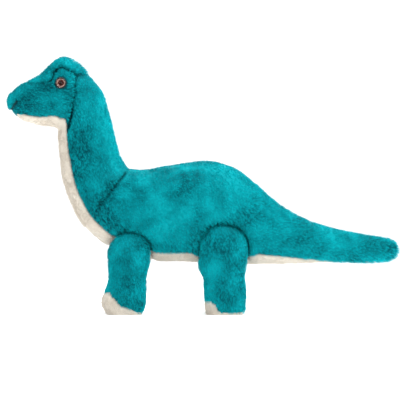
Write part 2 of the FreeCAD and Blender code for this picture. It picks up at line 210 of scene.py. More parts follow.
def grid_normals(points):
    """Outward normals of a grid of points that closes on itself along its second index."""
    along = np.gradient(points, axis=0)
    around = np.roll(points, -1, axis=1) - np.roll(points, 1, axis=1)
    return unit(np.cross(around, along))


def bump_at(far, width):
    """A smooth bump of height 1 that fades with distance."""
    return np.exp(-(far / width) ** 2)


def tone_and_painted_light(points, patches):
    """How much lighter or darker the pile is painted at each point, from -1.6 to 1.6: random tone
    from the nap plus the listed patches of painted light and painted shade.
    """
    tone = 0.35 * lumps(points, 26 * MM, 11) + 0.25 * lumps(points, 9 * MM, 12)
    for x, z, half_width, half_height, amount in patches:
        far = np.hypot((points[..., 0] / MM - x) / half_width,
                       (points[..., 2] / MM - z) / half_height)
        tone += amount * np.exp(-far ** 2)
    return np.clip(tone, -1.6, 1.6)


# ------------------------------------------------------------------ meshes
def new_piece(name, verts, faces, marks):
    """A smooth mesh. Two point attributes colour its pile: "seam", painted shade along seams and
    creases, and the tone mark, the nap's tone with painted light and painted shade; "short" and
    "grow" are the pile's length and density, as vertex groups."""
    mesh = bpy.data.meshes.new(name)
    mesh.from_pydata([tuple(v) for v in verts], [], faces)
    mesh.polygons.foreach_set("use_smooth", [True] * len(faces))
    mesh.update()
    made = bpy.data.objects.new(name, mesh)
    bpy.context.scene.collection.objects.link(made)
    for mark, values in marks.items():
        if mark in ("seam", "tone_and_painted_light"):
            attribute = mesh.attributes.new(mark, "FLOAT", "POINT")
            attribute.data.foreach_set("value", np.asarray(values, np.float32))
        else:
            group = made.vertex_groups.new(name=mark)
            for index, value in enumerate(values):
                group.add([index], float(value), "REPLACE")
    return made


def split_grid(points, labels, marks):
    """Make one piece for each label of a grid's faces; the middle of either end closes it."""
    rows, columns = points.shape[:2]
    verts = np.concatenate([points.reshape(-1, 3), [points[0].mean(0), points[-1].mean(0)]])
    flat_marks = {mark: np.concatenate([values.ravel(), [values[0].mean(), values[-1].mean()]])
                  for mark, values in marks.items()}
    by_label = {}
    for k in range(columns):
        n = (k + 1) % columns
        last = (rows - 1) * columns
        by_label.setdefault(labels[0][k], []).append((rows * columns, n, k))
        by_label.setdefault(labels[-1][k], []).append((rows * columns + 1, last + k, last + n))
        for i in range(rows - 1):
            face = (i * columns + k, i * columns + n, (i + 1) * columns + n,
                    (i + 1) * columns + k)
            by_label.setdefault(labels[i][k], []).append(face)
    made = {}
    for label, faces in by_label.items():
        used = sorted({v for face in faces for v in face})
        renumber = {v: n for n, v in enumerate(used)}
        made[label] = new_piece(label, verts[used],
                                [tuple(renumber[v] for v in face) for face in faces],
                                {mark: values[used] for mark, values in flat_marks.items()})
    return made


# ------------------------------------------------------------------ trunk
def end_cap(ring, length, way):
    """Shrinking rings that round off the nose or the tail tip."""
    middle = (ring[:2] + ring[2:4]) / 2
    half = (ring[:2] - ring[2:4]) / 2
    turns = np.radians(np.arange(8, 90, 9))
    rings = []
    for turn in turns[::-way]:
        centre = middle + np.array([way * length * math.cos(turn), 0])
        rings.append([*(centre + half * math.sin(turn)), *(centre - half * math.sin(turn)),
                      ring[4] * math.sin(turn)])
    return np.array(rings)


def trunk_grid():
    """The trunk as rows of points round it, from nose to tail, and each row's ring number.
    Columns run from the lower middle line over the right side to the top, and back."""
    rows = [np.array([0.0])]
    for k in range(len(RINGS) - 1):
        step = max(np.hypot(*(RINGS[k + 1, :2] - RINGS[k, :2])),
                   np.hypot(*(RINGS[k + 1, 2:4] - RINGS[k, 2:4])))
        count = max(2, math.ceil(step / GRID))
        rows.append(k + np.arange(1, count + 1) / count)
    number = np.concatenate(rows)
    rings = catmull(RINGS, number)
    nose, tail = end_cap(rings[0], NOSE_CAP, -1), end_cap(rings[-1], TAIL_CAP, 1)
    rings = np.concatenate([nose, rings, tail])
    number = np.concatenate([np.full(len(nose), -0.5), number,
                             np.full(len(tail), len(RINGS) - 0.5)])
    middle = (rings[:, 0:2] + rings[:, 2:4]) / 2
    half = (rings[:, 0:2] - rings[:, 2:4]) / 2
    length = np.linalg.norm(half, axis=1)
    up = half / length[:, None]
    high = np.maximum(length - PILE, 0.3 * length)
    wide = np.maximum(rings[:, 4] - PILE, 0.3 * rings[:, 4])
    seam = np.arccos(1 - 2 * np.interp(number, *zip(*STRIP_SHARE)))
    edge = np.maximum(seam, np.radians(3))
    angle = np.concatenate([
        edge[:, None] * np.linspace(0, 1, GUSSET, endpoint=False),
        edge[:, None] + (math.pi - edge)[:, None] * np.linspace(0, 1, SIDE + 1)], 1)
    angle = np.concatenate([angle, -angle[:, -2:0:-1]], 1)
    rise, out = -np.cos(angle), np.sin(angle)
    points = np.stack([middle[:, :1] + up[:, :1] * rise * high[:, None],
                       out * wide[:, None],
                       middle[:, 1:] + up[:, 1:] * rise * high[:, None]], -1)
    return points, number


def leg_reach(points, leg):
    """Side-view distance outside a leg's outline: its round top, and its column below."""
    x, z = points[..., 0] - leg["x"], points[..., 2] - leg["z"]
    return np.where(z > 0, np.hypot(x, z), np.abs(x)) - leg["radius"]


def girth(points):
    """Distance round each row from the lower middle line, the shorter way."""
    steps = np.linalg.norm(np.diff(points, axis=1), axis=2)
    along = np.concatenate([np.zeros((len(points), 1)), np.cumsum(steps, 1)], 1)
    whole = along[:, -1:] + np.linalg.norm(points[:, :1] - points[:, -1:], axis=2)
    return np.minimum(along, whole - along)


def shape_seams(points, number, crown_far, in_head):
    """How far the seams draw the cloth in at each point, and how much shade is painted into the
    pile there: in each seam's groove, in the fold in front of the dart and along the mouth.
    """
    along = girth(points)
    body = smoothstep(7.6, 8.2, number)
    strip = smoothstep(1.4, 2.2, number) * (1 - smoothstep(25, 25.8, number))
    strip_edge = along[:, GUSSET:GUSSET + 1]
    back_line = along[:, GUSSET + SIDE:GUSSET + SIDE + 1]
    face_far, _, _ = line_distance(points, FACE_SEAM)
    dart_far, dart_side, dart_foot = line_distance(points, DART)
    mouth_far, _, _ = line_distance(points, MOUTH)
    above_strip = smoothstep(-0.5 * MM, 0.5 * MM, along - strip_edge)
    dart_open = smoothstep(109 * MM, 123 * MM, dart_foot[..., 1])
    dart_open *= 1 - 0.7 * smoothstep(148 * MM, 158 * MM, points[..., 2])
    brow_open = 0.25 + 0.75 * smoothstep(-172 * MM, -165 * MM, points[..., 0])
    brow_open *= 1 - 0.75 * smoothstep(-146 * MM, -132 * MM, points[..., 0])
    # each seam's distance, width and depth
    seams = [(np.abs(along - strip_edge), 1.7 * MM, 1.1 * MM * strip),
             (np.abs(back_line - along), 1.6 * MM, 0.8 * MM * body),
             (crown_far, 2.4 * MM, 2.4 * MM * in_head * brow_open),
             (face_far, 2.2 * MM, 1.8 * MM * in_head * above_strip),
             (dart_far, 2.8 * MM, 2.6 * MM * dart_open),
             (mouth_far, 1.4 * MM, 1.2 * MM * in_head)]
    push = sum(-depth * bump_at(far, width) for far, width, depth in seams)
    # painted shade in each seam's groove, darker where the groove is deeper
    seam = sum(bump_at(far, 0.75 * width) * np.minimum(1, depth / MM)
               for far, width, depth in seams)
    # the cloth rolls towards the dart from in front of it
    push += 1.0 * MM * bump_at(dart_far - 10 * MM, 6 * MM) * dart_open
    push -= 1.6 * MM * bump_at(dart_far - 5 * MM, 4 * MM) * dart_open * (dart_side < 0)
    # painted shade in the fold in front of the dart
    seam += 0.5 * bump_at(dart_far - 5 * MM, 4 * MM) * dart_open * (dart_side < 0)
    # painted shade along the mouth's groove, and broadly beside the face seam
    seam += 0.7 * bump_at(mouth_far, 1.8 * MM) * in_head
    seam += 0.35 * bump_at(face_far, 3.5 * MM) * in_head * above_strip
    return push, seam


def shape_eyes(points, crown_far, crown_side, in_head, push, seam):
    """Add the eye sockets and the brows over them, with painted shade round each socket and in the
    hollow under the brow. Returns the distance to an eye's middle.
    """
    eye_low, eye_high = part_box("eye_backing_left")
    eye_far = np.hypot(points[..., 0] - (eye_low.x + eye_high.x) / 2,
                       points[..., 2] - (eye_low.z + eye_high.z) / 2)
    eye_far = np.where(np.abs(points[..., 1]) > CHEEK_FROM, eye_far, FAR_AWAY)
    push -= 1.8 * MM * bump_at(eye_far, 8 * MM)
    # a ring of painted shade round the socket
    seam += 0.8 * bump_at(eye_far - 6.6 * MM, 1.1 * MM)
    # the crown's cloth stands over the eye, with a hollow under it that gets painted shade
    brow = bump_at(points[..., 0] + 156 * MM, 12 * MM) * in_head
    push += 1.3 * MM * brow * bump_at(crown_far - 4 * MM, 3.4 * MM) * (crown_side > 0)
    push -= 1.0 * MM * brow * bump_at(crown_far - 3 * MM, 3 * MM) * (crown_side < 0)
    seam += 0.3 * brow * bump_at(crown_far, 5 * MM) * (crown_side < 0)
    return eye_far


def shape_leg_seams(points, legs, push, seam):
    """Add the puckered seam round each leg's top, with painted shade in its crease. Returns how
    far each point lies under a leg, from 0 to 1. One leg of each pair is enough: in side view both
    have one outline."""
    hidden = np.zeros(push.shape)
    for leg in legs:
        if leg["side"] < 0:
            continue
        out = leg_reach(points, leg)
        rim = np.where(points[..., 2] > LEG_SEAM_FROM, out, FAR_AWAY)
        turn = np.arctan2(points[..., 2] - leg["z"], points[..., 0] - leg["x"])
        pucker = np.cos(15 * turn + 3 * lumps(points, 20 * MM, 4))
        push += 0.25 * MM * pucker * bump_at(out - 4 * MM, 4 * MM)
        push -= 1.6 * MM * bump_at(rim, 3.2 * MM)
        # painted shade in the crease round the leg's top, with a broader softer band
        seam += 1.0 * bump_at(rim, 2.0 * MM) + 0.3 * bump_at(rim, 5 * MM)
        hidden = np.maximum(hidden, smoothstep(-1.5 * MM, -4 * MM, out))
    return hidden


def hollow_flanks(points, legs):
    """Sink the flank where each leg sits in it."""
    for leg in legs:
        out = leg_reach(points, leg)
        hollow = smoothstep(1.2 * MM, -2.6 * MM, out)
        floor = leg["inner"] - 1.2 * MM
        same_side = points[..., 1] * leg["side"] > floor
        sunk = leg["side"] * floor
        points[..., 1] = np.where(same_side, points[..., 1] * (1 - hollow) + sunk * hollow,
                                  points[..., 1])


def shape_trunk(points, numbers, legs):
    """Seams, puffed panels, eye sockets, mouth, leg hollows and the lumps of the stuffing.
    Returns the marks of the pile at each point."""
    number = numbers[:, None]
    in_head = 1 - smoothstep(7.5, 8.5, number)
    crown_far, crown_side, _ = line_distance(points, CROWN_SEAM)
    push, seam = shape_seams(points, number, crown_far, in_head)
    eye_far = shape_eyes(points, crown_far, crown_side, in_head, push, seam)
    hidden = shape_leg_seams(points, legs, push, seam)
    push += 0.55 * MM * lumps(points, 34 * MM, 1) + 0.3 * MM * lumps(points, 13 * MM, 2)
    push += 0.1 * MM * lumps(points, 3.4 * MM, 3)
    points += grid_normals(points) * push[..., None]
    hollow_flanks(points, legs)
    hidden = np.where(np.abs(points[..., 1]) > FLANK_FROM, hidden, 0)
    seam = np.clip(seam, 0, 1)
    muzzle = 1 - 0.3 * (1 - smoothstep(2, 5, number))
    bare = np.maximum(hidden, smoothstep(6.8 * MM, 6.0 * MM, eye_far))
    return {"seam": seam, "tone_and_painted_light": tone_and_painted_light(points, TONE_AND_LIGHT_PATCHES["trunk"]),
            "short": (1 - 0.7 * seam) * muzzle, "grow": 1 - bare}


def trunk_labels(points, numbers):
    """Which cover each face of the trunk's grid belongs to."""
    middles = (points[:-1] + points[1:]) / 2
    middles = (middles + np.roll(middles, -1, axis=1)) / 2
    number = (numbers[:-1] + numbers[1:]) / 2
    _, crown, _ = line_distance(middles, CROWN_SEAM)
    _, face, _ = line_distance(middles, FACE_SEAM)
    _, dart, _ = line_distance(middles, DART)
    columns = points.shape[1]
    labels = []
    for i, at in enumerate(number):
        row = []
        for k in range(columns):
            side = "right" if middles[i, k, 1] > 0 else "left"
            pale = (k < GUSSET or k >= columns - GUSSET) and STRIP_FROM < at < STRIP_TO
            if at > RUMP_RING:
                row.append("under_tail_gusset" if pale else f"tail_side_{side}")
            elif dart[i, k] > 0 and at > THROAT_RING:
                row.append("belly_gusset" if pale else f"torso_side_{side}")
            elif pale:
                row.append("chin_gusset" if at < NAPE_RING else "throat_gusset")
            elif at < HEAD_RING and crown[i, k] > 0:
                row.append("crown_gusset")
            elif at < THROAT_RING and face[i, k] < 0:
                row.append(f"head_side_{side}")
            else:
                row.append(f"neck_side_{side}")
        labels.append(row)
    return labels


# ------------------------------------------------------------------ legs
# height, front x and rear x of each leg's outline
LEG_ROWS = {
    "foreleg": np.array([(1, -98, -67.2), (2.4, -101.5, -65.6), (4.5, -104.6, -64.3),
                         (7, -106.9, -63.4), (11, -109.2, -62.2), (17, -110, -61.6),
                         (24, -107.8, -61.6), (33, -104, -61.6), (43, -101.9, -61.2),
                         (54, -102.6, -58.2)]) * MM,
    "hindleg": np.array([(1, 7.2, 42.6), (2.4, 5, 44.6), (4.5, 3.6, 46.2), (7, 2.9, 47),
                         (11, 2.3, 47.6), (17, 2.1, 48.3), (24, 1.6, 48.4), (33, 1.1, 47.6),
                         (42, 0.4, 46.6), (49, -3.2, 47.4), (55, -7.6, 49)]) * MM,
}
SOLE_SEAM = {
    "foreleg": np.array([(-112, 24), (-103.7, 23.9), (-99.5, 22.8), (-94.4, 16.4),
                         (-87.7, 10.4), (-77.7, 6.6), (-71, 3), (-55, 2.2)]) * MM,
    "hindleg": np.array([(-3, 12.6), (6, 13.6), (12.3, 13.2), (15.4, 10), (17.6, 5),
                         (21, 2.4), (52, 2.2)]) * MM,
}
LEG_COLUMNS = 112
LEG_SMOOTH_FROM, LEG_SMOOTHINGS = 40 * MM, 8
SOLE_SHARES = np.linspace(0.05, 0.94, 12)   # rings of the flat sole, as shares of its edge


def leg_facts():
    """Each leg's hinge point, round top and inner face, from the frame."""
    pivots = {joint["child"]: joint["pos_m"] for joint in frame["joints"]}
    legs = []
    for kind in LEG_ROWS:
        for word, side in SIDES.items():
            name = f"{kind}_{word}"
            low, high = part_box(f"{name}_outer_panel")
            inner_low, inner_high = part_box(f"{name}_inner_panel")
            x, _, z = pivots[name]
            legs.append({"name": name, "kind": kind, "side": side, "x": x, "z": z,
                         "radius": high.z - z,
                         "inner": min(abs(inner_low.y), abs(inner_high.y)),
                         "outer": max(abs(low.y), abs(high.y))})
    return legs


def leg_grid(leg, trunk):
    """A leg as rows of points round it, from the middle of its sole to its round top.
    It is drawn on the right side, +Y, and mirrored later where it is a left leg."""
    rows = LEG_ROWS[leg["kind"]].copy()
    rows[:, 1] += PILE
    rows[:, 2] -= PILE
    count = 2 + int((rows[-1, 0] - rows[0, 0]) / GRID)
    shaft = catmull(rows, np.linspace(0, len(rows) - 1, count))
    radius = leg["radius"] - PILE
    turns = np.radians(np.arange(-12, 88, 3.4))
    lift = leg["z"] + radius * np.sin(turns)
    dome = np.stack([lift, leg["x"] - radius * np.cos(turns),
                     leg["x"] + radius * np.cos(turns)], 1)
    sides = np.concatenate([shaft, dome[lift > shaft[-1, 0] + 1.5 * MM]])
    front, rear = sides[0, 1:]
    middle, half = (front + rear) / 2, (rear - front) / 2
    sole = np.array([(0.4 * MM, middle - half * share, middle + half * share)
                     for share in SOLE_SHARES])
    rows = np.concatenate([sole, sides])
    z = rows[:, 0]
    centre, reach = (rows[:, 1] + rows[:, 2]) / 2, (rows[:, 2] - rows[:, 1]) / 2
    # the line where the leg's two panels meet follows the body's flank near the top
    skin = trunk[::2, GUSSET:GUSSET + SIDE:2].reshape(-1, 3)
    flank = np.array([np.mean([skin[np.argmin(np.hypot(skin[:, 0] - x, skin[:, 2] - level)), 1]
                               for x in (at - wide, at + wide)])
                      for level, at, wide in zip(z, centre, reach)])
    close = smoothstep(48 * MM, leg["z"] + 6 * MM, z)
    edge = (leg["inner"] + leg["outer"]) / 2 * (1 - close)
    edge += np.clip(flank + 1.2 * MM, 27 * MM, 46 * MM) * close
    edge = np.convolve(np.pad(edge, 4, mode="edge"), np.ones(9) / 9, "valid")
    high = np.maximum(0, z - leg["z"]) / radius
    swell = np.sqrt(np.clip(1 - high ** 2, 0, 1)) ** 0.9 * np.minimum(1, reach / half) ** 0.9
    out = (leg["outer"] - PILE - edge) * swell
    back = (edge - leg["inner"] - 0.6 * MM) * swell
    turn = np.linspace(0, 2 * math.pi, LEG_COLUMNS, endpoint=False)
    square = 2 / 2.25           # a little squarer than an ellipse
    c = np.sign(np.cos(turn)) * np.abs(np.cos(turn)) ** square
    s = np.sign(np.sin(turn)) * np.abs(np.sin(turn)) ** square
    x = centre[:, None] + reach[:, None] * c
    y = edge[:, None] + np.where(s > 0, out[:, None], back[:, None]) * s
    points = np.stack([x, y, np.repeat(z[:, None], LEG_COLUMNS, 1)], -1)
    upper = np.flatnonzero(z > LEG_SMOOTH_FROM)[0]
    for _ in range(LEG_SMOOTHINGS):
        points[upper:-1] = (points[upper - 1:-2] + 2 * points[upper:-1] + points[upper + 1:]) / 4
    return points


def shape_leg(points, leg):
    """Side seams, sole seam and lumps; returns the marks of the pile at each point, with painted
    shade in the sole seam and round the leg's top.
    """
    sole_far, _, _ = line_distance(points, SOLE_SEAM[leg["kind"]])
    k = np.arange(LEG_COLUMNS)
    step = np.minimum(k, LEG_COLUMNS - k)
    step = np.minimum(step, np.abs(k - LEG_COLUMNS // 2))[None, :]
    side_far = step * np.linalg.norm(points - np.roll(points, 1, axis=1), axis=2)
    above = smoothstep(2 * MM, 8 * MM, points[..., 2])
    push = -0.9 * MM * bump_at(sole_far, 1.6 * MM) * above
    push -= 0.45 * MM * bump_at(side_far, 1.6 * MM) * above
    seed = 20 + leg["side"] + 5 * (leg["kind"] == "foreleg")
    push += above * (0.5 * MM * lumps(points, 24 * MM, seed)
                     + 0.3 * MM * lumps(points, 10 * MM, seed + 1))
    push += 0.1 * MM * above * lumps(points, 3.4 * MM, 8)
    points += grid_normals(points) * push[..., None]
    points[..., 2] = np.maximum(points[..., 2], 0.3 * MM)
    rim = leg_reach(points, leg)
    # painted shade along the sole seam's groove, and in the crease where the leg's top meets the
    # body
    seam = 0.55 * bump_at(sole_far, 1.1 * MM) * above
    seam += 0.9 * np.where(points[..., 2] > 60 * MM, bump_at(rim + 1.2 * MM, 2.2 * MM), 0)
    seam = np.clip(seam, 0, 1)
    grow = smoothstep(0.8 * MM, 2 * MM, points[..., 2])
    return {"seam": seam, "tone_and_painted_light": tone_and_painted_light(points, TONE_AND_LIGHT_PATCHES[leg["kind"]]),
            "short": 1 - 0.6 * seam, "grow": grow}


def leg_labels(points, leg):
    """Which cover each face of a leg's grid belongs to."""
    _, sole_side, _ = line_distance(points, SOLE_SEAM[leg["kind"]])
    labels = []
    for i in range(len(points) - 1):
        row = []
        for k in range(LEG_COLUMNS):
            low = sole_side[i, k] < 0 or points[i, k, 2] < 2 * MM
            row.append("sole" if low else "outer_panel" if k < LEG_COLUMNS // 2
                       else "inner_panel")
        labels.append(row)
    return labels


# ------------------------------------------------------------------ stuffing and eyes
def follow(piece, part):
    """Ride a body; where that part of the toy crosses a bend, leave the piece unparented with its
    place baked in.
    """
    if part in BLENDS:
        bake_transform(piece)
    else:
        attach(piece, "head" if part in ("crown", "chin") else part)


def stuffing_piece(name, body, rows, dome):
    """Fibre fill: the cover's rows drawn in, rounding off over the dome's length each way."""
    middles = rows.mean(1)
    run = np.concatenate([[0], np.cumsum(np.linalg.norm(np.diff(middles, axis=0), axis=1))])
    from_end = np.clip(np.minimum(run, run[-1] - run) / dome, 0.02, 1)
    taper = np.sqrt(1 - (1 - from_end) ** 2)
    arms = rows - middles[:, None]
    reach = np.linalg.norm(arms, axis=2, keepdims=True)
    inset = STUFFING_INSET - 1.3 * MM * lumps(rows, 14 * MM, 9)[..., None]
    keep = np.maximum(1 - inset / np.maximum(reach, MM), 0.3)
    points = middles[:, None] + arms * keep * taper[:, None, None]
    labels = [[name] * points.shape[1]] * (len(points) - 1)
    piece = split_grid(points, labels, {})[name]
    piece.data.materials.append(fibre_fill)
    follow(piece, body)
    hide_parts(f"{body}_stuffing")


LENS_COLUMNS = 48


def eye_dome(word, side):
    """The clear lens: a shallow dome with a rolled rim, just in front of the printed disc."""
    low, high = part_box(f"eye_lens_{word}")
    centre = np.array([(low.x + high.x) / 2, 0, (low.z + high.z) / 2])
    radius = (high.x - low.x) / 2 - 0.35 * MM
    base = min(abs(low.y), abs(high.y)) + 0.12 * MM
    rise = abs(high.y - low.y) - 0.2 * MM
    profile = [(0.96, 0.0), (1.0, 0.08), (0.985, 0.2)]
    profile += [(math.cos(t), 0.2 + 0.8 * math.sin(t) ** 1.1)
                for t in np.radians(np.arange(16, 88, 8))]
    turn = np.linspace(0, 2 * math.pi, LENS_COLUMNS, endpoint=False) * -side
    points = np.array([centre + np.stack([radius * share * np.cos(turn),
                                          np.full(LENS_COLUMNS, side * (base + rise * lift)),
                                          radius * share * np.sin(turn)], 1)
                       for share, lift in profile])
    name = f"eye_dome_{word}"
    piece = split_grid(points, [[name] * LENS_COLUMNS] * (len(points) - 1), {})[name]
    piece.data.materials.append(clear_lens)
    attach(piece, "head")
    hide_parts(f"eye_lens_{word}")


# ------------------------------------------------------------------ materials
def colour_ramp(nodes, stops):
    """A ramp node with a colour at each place; the stops may come in any order."""
    ramp = nodes.new("ShaderNodeValToRGB")
    elements = ramp.color_ramp.elements
    for number, (place, colour) in enumerate(stops):
        element = elements[number] if number < 2 else elements.new(place)
        element.position = place
        element.color = (*colour, 1)
    return ramp


def link_chain(tree, *steps):
    """Link each pair of sockets, from an output to an input."""
    for out_socket, in_socket in steps:
        tree.links.new(out_socket, in_socket)


def new_material(name, roughness, specular):
    """A material, its node tree and its shader."""
    material = bpy.data.materials.new(name)
    material.use_nodes = True
    tree = material.node_tree
    shader = tree.nodes["Principled BSDF"]
    shader.inputs["Roughness"].default_value = roughness
    shader.inputs["Specular IOR Level"].default_value = specular
    return material, tree, shader


def noise_node(tree, scale, detail, roughness=0.5):
    made = tree.nodes.new("ShaderNodeTexNoise")
    made.inputs["Scale"].default_value = scale
    made.inputs["Detail"].default_value = detail
    made.inputs["Roughness"].default_value = roughness
    return made


def maths_node(tree, operation, value):
    made = tree.nodes.new("ShaderNodeMath")
    made.operation = operation
    made.inputs[1].default_value = value
    return made


def plush(name, dark, middle, light, tip, tone_and_light_contrast, strand_contrast):
    """Brushed pile: blotches where the nap lies differently, with painted light and painted shade,
    fine tufts with a painted highlight towards their tips, and painted shade along seams and
    creases.
    """
    material, tree, shader = new_material(name, 0.7, 0.015)
    nodes = tree.nodes
    where = nodes.new("ShaderNodeTexCoord").outputs["Object"]
    blotch = noise_node(tree, 60, 2, 0.45)
    fibre = noise_node(tree, 800, 3)
    both = nodes.new("ShaderNodeMix")
    both.inputs[0].default_value = 0.3
    # the tone mark: the nap's random tone with painted light and painted shade
    nap = nodes.new("ShaderNodeAttribute")
    nap.attribute_name = "tone_and_painted_light"
    tone_and_light_share = maths_node(tree, "MULTIPLY", tone_and_light_contrast)
    tone = maths_node(tree, "ADD", 0)
    ramp = colour_ramp(nodes, ((0.27, dark), (0.72, light), (0.49, middle)))
    # painted shade along seams and creases, mixed towards a much darker teal
    seam = nodes.new("ShaderNodeAttribute")
    seam.attribute_name = "seam"
    seam_shade_share = maths_node(tree, "MULTIPLY", 0.9)
    shade = nodes.new("ShaderNodeMix")
    shade.data_type = "RGBA"
    shade.inputs[7].default_value = (*[0.22 * c for c in dark], 1)
    # strands lighten towards their tips: a painted highlight on the pile
    hair = nodes.new("ShaderNodeHairInfo")
    along = maths_node(tree, "MULTIPLY", 0.65)
    tips = nodes.new("ShaderNodeMix")
    tips.data_type = "RGBA"
    tips.inputs[7].default_value = (*tip, 1)
    spread = nodes.new("ShaderNodeMapRange")
    spread.inputs["To Min"].default_value = 1 - strand_contrast
    spread.inputs["To Max"].default_value = 1 + strand_contrast
    strand = nodes.new("ShaderNodeVectorMath")
    strand.operation = "SCALE"
    bump = nodes.new("ShaderNodeBump")
    bump.inputs["Strength"].default_value = 0.3
    bump.inputs["Distance"].default_value = 1.2 * MM
    link_chain(tree, (where, blotch.inputs["Vector"]), (where, fibre.inputs["Vector"]),
               (blotch.outputs["Fac"], both.inputs[2]), (fibre.outputs["Fac"], both.inputs[3]),
               (nap.outputs["Fac"], tone_and_light_share.inputs[0]), (both.outputs[0], tone.inputs[0]),
               (tone_and_light_share.outputs[0], tone.inputs[1]), (tone.outputs[0], ramp.inputs["Fac"]),
               (ramp.outputs["Color"], tips.inputs[6]),
               (hair.outputs["Intercept"], along.inputs[0]), (along.outputs[0], tips.inputs[0]),
               (tips.outputs[2], shade.inputs[6]),
               (seam.outputs["Fac"], seam_shade_share.inputs[0]),
               (seam_shade_share.outputs[0], shade.inputs[0]),
               (hair.outputs["Random"], spread.inputs["Value"]),
               (shade.outputs[2], strand.inputs[0]),
               (spread.outputs["Result"], strand.inputs["Scale"]),
               (strand.outputs["Vector"], shader.inputs["Base Color"]),
               (fibre.outputs["Fac"], bump.inputs["Height"]),
               (bump.outputs["Normal"], shader.inputs["Normal"]))
    shader.inputs["Sheen Weight"].default_value = 0.12
    shader.inputs["Sheen Roughness"].default_value = 0.4
    shader.inputs["Sheen Tint"].default_value = (*tip, 1)
    return material


def fibre_material():
    """Loose white polyester fibre."""
    material, tree, shader = new_material("polyester_fibre", 0.85, 0.2)
    tangle = noise_node(tree, 260, 5, 0.7)
    tangle.inputs["Distortion"].default_value = 1.5
    ramp = colour_ramp(tree.nodes, ((0.3, (0.72, 0.72, 0.70)), (0.7, (0.92, 0.92, 0.91))))
    bump = tree.nodes.new("ShaderNodeBump")
    bump.inputs["Distance"].default_value = 1.5 * MM
    where = tree.nodes.new("ShaderNodeTexCoord").outputs["Object"]
    link_chain(tree, (where, tangle.inputs["Vector"]),
               (tangle.outputs["Fac"], ramp.inputs["Fac"]),
               (ramp.outputs["Color"], shader.inputs["Base Color"]),
               (tangle.outputs["Fac"], bump.inputs["Height"]),
               (bump.outputs["Normal"], shader.inputs["Normal"]))
    return material


def speckled(name, low, high, roughness, scale, specular=0.5, stripes=False):
    """A moulded or twisted surface with a faint grain in its colour and height."""
    material, tree, shader = new_material(name, roughness, specular)
    if stripes:
        grain = tree.nodes.new("ShaderNodeTexWave")
        grain.inputs["Scale"].default_value = scale
        grain.bands_direction = "DIAGONAL"
    else:
        grain = noise_node(tree, scale, 3)
    ramp = colour_ramp(tree.nodes, ((0.3, low), (0.7, high)))
    bump = tree.nodes.new("ShaderNodeBump")
    bump.inputs["Strength"].default_value = 0.15
    bump.inputs["Distance"].default_value = 0.2 * MM
    where = tree.nodes.new("ShaderNodeTexCoord").outputs["Object"]
    link_chain(tree, (where, grain.inputs["Vector"]), (grain.outputs["Fac"], ramp.inputs["Fac"]),
               (ramp.outputs["Color"], shader.inputs["Base Color"]),
               (grain.outputs["Fac"], bump.inputs["Height"]),
               (bump.outputs["Normal"], shader.inputs["Normal"]))
    return material


def printed_eye():
    """The printed disc: a black pupil in dark red-brown, with a tan ring round it."""
    material, tree, shader = new_material("eye_print", 0.4, 0.05)
    low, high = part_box("eye_iris_left")
    where = tree.nodes.new("ShaderNodeTexCoord").outputs["Object"]
    flat = tree.nodes.new("ShaderNodeVectorMath")
    flat.operation = "MULTIPLY"
    flat.inputs[1].default_value = (1, 0, 1)
    to_axis = tree.nodes.new("ShaderNodeVectorMath")
    to_axis.operation = "DISTANCE"
    to_axis.inputs[1].default_value = ((low.x + high.x) / 2, 0, (low.z + high.z) / 2)
    share = maths_node(tree, "DIVIDE", (high.x - low.x) / 2)
    ramp = colour_ramp(tree.nodes, ((0.0, (0.004, 0.002, 0.002)), (0.34, (0.006, 0.003, 0.003)),
                                    (0.46, (0.055, 0.009, 0.007)), (0.70, (0.045, 0.008, 0.006)),
                                    (0.76, (0.32, 0.19, 0.15)), (0.86, (0.38, 0.26, 0.22)),
                                    (0.93, (0.015, 0.008, 0.008))))
    link_chain(tree, (where, flat.inputs[0]), (flat.outputs[0], to_axis.inputs[0]),
               (to_axis.outputs["Value"], share.inputs[0]), (share.outputs[0], ramp.inputs["Fac"]),
               (ramp.outputs["Color"], shader.inputs["Base Color"]))
    return material


def lens_material():
    """Clear polished plastic, with the faintest waviness of a moulding."""
    material, tree, shader = new_material("clear_lens", 0.03, 0.5)
    shader.inputs["Transmission Weight"].default_value = 1
    shader.inputs["IOR"].default_value = 1.15
    wavy = noise_node(tree, 180, 1)
    ramp = colour_ramp(tree.nodes, ((0.3, (0.97, 0.97, 0.97)), (0.7, (1, 1, 1))))
    where = tree.nodes.new("ShaderNodeTexCoord").outputs["Object"]
    link_chain(tree, (where, wavy.inputs["Vector"]), (wavy.outputs["Fac"], ramp.inputs["Fac"]),
               (ramp.outputs["Color"], shader.inputs["Base Color"]))
    return material


# ------------------------------------------------------------------ pile
def add_pile(piece, nap, length, seed):
    """Grow the pile on a cover: short hairs laid along the nap."""
    area = sum(face.area for face in piece.data.polygons)
    system = piece.modifiers.new("pile", "PARTICLE_SYSTEM").particle_system
    system.seed = seed
    settings = system.settings
    settings.type = "HAIR"
    settings.count = max(50, int(area * HAIRS_PER_M2))
    settings.hair_step = 3
    settings.render_step = 2
    settings.emit_from = "FACE"
    settings.use_emit_random = True
    settings.use_even_distribution = True
    settings.use_advanced_hair = True
    factor = length / HAIR_FACTOR_LENGTH
    settings.normal_factor = 0.42 * factor
    settings.object_align_factor = Vector(nap).normalized() * 0.85 * factor
    settings.factor_random = 0.22 * factor
    settings.child_type = "SIMPLE"
    settings.child_radius = 1.2 * MM
    settings.child_roundness = 1
    settings.rendered_child_count = 8
    settings.child_percent = 0
    settings.child_length = 1
    settings.clump_factor = 0.2
    settings.clump_shape = -0.2
    settings.roughness_1 = 0.4 * MM
    settings.roughness_1_size = 10 * MM
    settings.roughness_2 = 0.25 * MM
    settings.roughness_endpoint = 0.35 * MM
    settings.root_radius = 0.11
    settings.tip_radius = 0.03
    settings.radius_scale = MM
    settings.use_hair_bspline = False
    system.vertex_group_length = "short"
    system.vertex_group_density = "grow"


